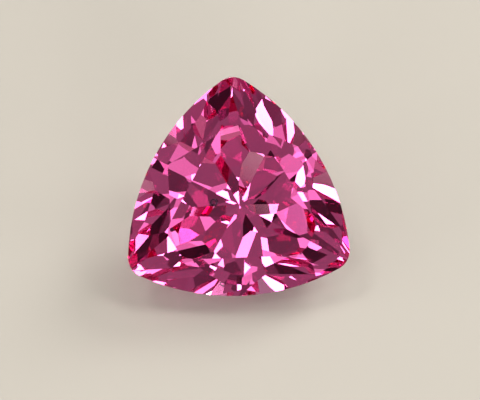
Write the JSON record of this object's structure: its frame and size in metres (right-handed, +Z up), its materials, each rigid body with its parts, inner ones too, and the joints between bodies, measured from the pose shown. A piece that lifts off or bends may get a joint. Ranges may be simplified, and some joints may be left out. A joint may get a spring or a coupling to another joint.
{
  "type": "trillion cut pink sapphire",
  "caption": "Faceted pink sapphire with a rounded triangular outline, cut to return light, resting on a flat facet of its pavilion.",
  "frame": {"origin": "under the middle of the stone's box, on the surface it rests on", "axes": "+Z up; the stone rests on one pavilion facet, so its table leans towards -Y and one corner of its outline points up and back"},
  "size_m": [0.01, 0.008, 0.0074],
  "materials": {
    "clear_pink_crystal": "clear pink corundum crystal, every facet polished bright, seen through by transmission with index of refraction 1.77 and pink absorption"
  },
  "bodies": {
    "root": {"pink_sapphire": "clear_pink_crystal"}
  },
  "joints": []
}
